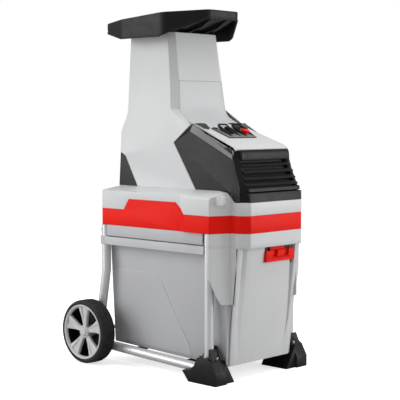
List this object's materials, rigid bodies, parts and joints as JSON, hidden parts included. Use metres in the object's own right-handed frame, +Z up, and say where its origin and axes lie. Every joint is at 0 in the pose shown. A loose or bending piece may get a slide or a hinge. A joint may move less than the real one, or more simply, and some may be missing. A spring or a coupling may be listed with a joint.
{
  "type": "electric garden chipper",
  "caption": "Quiet electric garden chipper: feed tower with funnel hood, sloped control deck, drum cutter, tube frame on wheels and a pull-out chip box.",
  "frame": {"origin": "on the ground, at the middle of the footprint", "axes": "+Z up; the louvred front, the latch and the box's pull-out side face -Y, the wheels are at +Y; +X is the side with the adjusting knob and the mains inlet"},
  "size_m": [0.452, 0.598, 0.9639],
  "materials": {
    "light_housing": "fine-grained satin moulded plastic",
    "box_plastic": "fine-grained moulded plastic",
    "box_front_plastic": "fine-grained moulded plastic",
    "red_plastic": "satin red moulded plastic",
    "black_plastic": "grained black plastic",
    "dark_grey_plastic": "grained dark grey plastic",
    "tube_aluminium": "satin anodised",
    "steel_zinc": "bright zinc plated",
    "steel_dark": "dark painted steel",
    "cast_case": "rough cast",
    "cutter_steel": "hardened and ground",
    "tyre_rubber": "moulded tread",
    "rim_plastic": "silver-grey plastic",
    "copper_winding": "varnished windings"
  },
  "bodies": {
    "machine": {"feed_hood": "black_plastic", "inner_chute": "black_plastic", "tower_shell": "light_housing", "deck_panel": "light_housing", "motor_cover": "black_plastic", "cheek_left": "dark_grey_plastic", "cheek_right": "dark_grey_plastic", "rear_cover": "dark_grey_plastic", "base_housing": "light_housing", "red_band": "red_plastic", "side_skirt_left": "box_plastic", "side_skirt_right": "box_plastic", "chassis_plate": "steel_dark", "frame_tube_left": "tube_aluminium", "frame_tube_right": "tube_aluminium", "cross_bars": "steel_dark", "rail_left": "tube_aluminium", "rail_right": "tube_aluminium", "foot_left": "black_plastic", "foot_right": "black_plastic", "frame_bolts": "steel_zinc", "axle": "steel_zinc", "axle_sleeves_and_clips": "steel_zinc", "housing_screws": "steel_zinc", "cutter_frame": "cast_case", "drum_bearings": "steel_zinc", "gear_case": "cast_case", "gear_case_cover": "cast_case", "motor_shell": "steel_dark", "motor_end_shields": "cast_case", "motor_stator": "copper_winding", "motor_saddles": "steel_dark", "capacitor": "steel_zinc", "control_plate": "black_plastic", "switch_box": "black_plastic", "mains_inlet": "black_plastic"},
    "collection_box": {"box_bin": "box_plastic", "box_front": "box_front_plastic", "latch_guide": "black_plastic"},
    "latch": {"latch": "red_plastic"},
    "wheel_left": {"tyre_left": "tyre_rubber", "rim_left": "rim_plastic", "hub_cap_left": "rim_plastic"},
    "wheel_right": {"tyre_right": "tyre_rubber", "rim_right": "rim_plastic", "hub_cap_right": "rim_plastic"},
    "cutting_drum": {"cutting_drum": "cutter_steel", "drum_shaft": "cutter_steel", "drum_gear": "cutter_steel"},
    "lay_shaft": {"lay_shaft": "steel_zinc", "lay_gear": "cutter_steel"},
    "motor_rotor": {"motor_rotor": "cutter_steel", "motor_shaft": "steel_zinc", "cooling_fan": "black_plastic"},
    "pressure_plate": {"pressure_plate": "cast_case"},
    "adjusting_knob": {"adjusting_knob": "black_plastic", "adjusting_spindle": "steel_zinc"},
    "direction_knob": {"direction_knob": "black_plastic"},
    "start_button": {"start_button": "black_plastic"},
    "stop_button": {"stop_button": "red_plastic"}
  },
  "joints": [
    {"name": "box_slide", "type": "slide", "parent": "machine", "child": "collection_box", "axis": [0, -1, 0], "range_m": [0, 0.43]},
    {"name": "latch_slide", "type": "slide", "parent": "collection_box", "child": "latch", "axis": [0, 0, 1], "range_m": [0, 0.012]},
    {"name": "wheel_left_spin", "type": "hinge", "parent": "machine", "child": "wheel_left", "pos_m": [-0.202, 0.211, 0.088], "axis": [1, 0, 0], "continuous": true},
    {"name": "wheel_right_spin", "type": "hinge", "parent": "machine", "child": "wheel_right", "pos_m": [0.202, 0.211, 0.088], "axis": [1, 0, 0], "continuous": true},
    {"name": "drum_spin", "type": "hinge", "parent": "machine", "child": "cutting_drum", "pos_m": [-0.022, 0.071, 0.458], "axis": [0, 1, 0], "continuous": true},
    {"name": "lay_shaft_spin", "type": "hinge", "parent": "machine", "child": "lay_shaft", "pos_m": [0.0379, -0.045, 0.46148], "axis": [0, 1, 0], "continuous": true},
    {"name": "motor_spin", "type": "hinge", "parent": "machine", "child": "motor_rotor", "pos_m": [0, -0.155, 0.508], "axis": [0, 1, 0], "continuous": true},
    {"name": "adjusting_turn", "type": "hinge", "parent": "machine", "child": "adjusting_knob", "pos_m": [0.1, 0.07, 0.446], "axis": [1, 0, 0], "range_deg": [-720, 720]},
    {"name": "pressure_plate_slide", "type": "slide", "parent": "machine", "child": "pressure_plate", "axis": [1, 0, 0], "range_m": [-0.003, 0.003]},
    {"name": "direction_turn", "type": "hinge", "parent": "machine", "child": "direction_knob", "pos_m": [-0.028, -0.15564, 0.63845], "axis": [0, -0.342, 0.9397], "range_deg": [-45, 45]},
    {"name": "start_press", "type": "slide", "parent": "machine", "child": "start_button", "axis": [0, 0.342, -0.9397], "range_m": [0, 0.004], "stiffness_N_per_m": 400},
    {"name": "stop_press", "type": "slide", "parent": "machine", "child": "stop_button", "axis": [0, 0.342, -0.9397], "range_m": [0, 0.005], "stiffness_N_per_m": 400}
  ],
  "couplings": [
    {"joint": "lay_shaft_spin", "follows": "drum_spin", "ratio": -3},
    {"joint": "motor_spin", "follows": "drum_spin", "ratio": 9},
    {"joint": "adjusting_turn", "follows": "pressure_plate_slide", "rad_per_m": 4188.8}
  ]
}
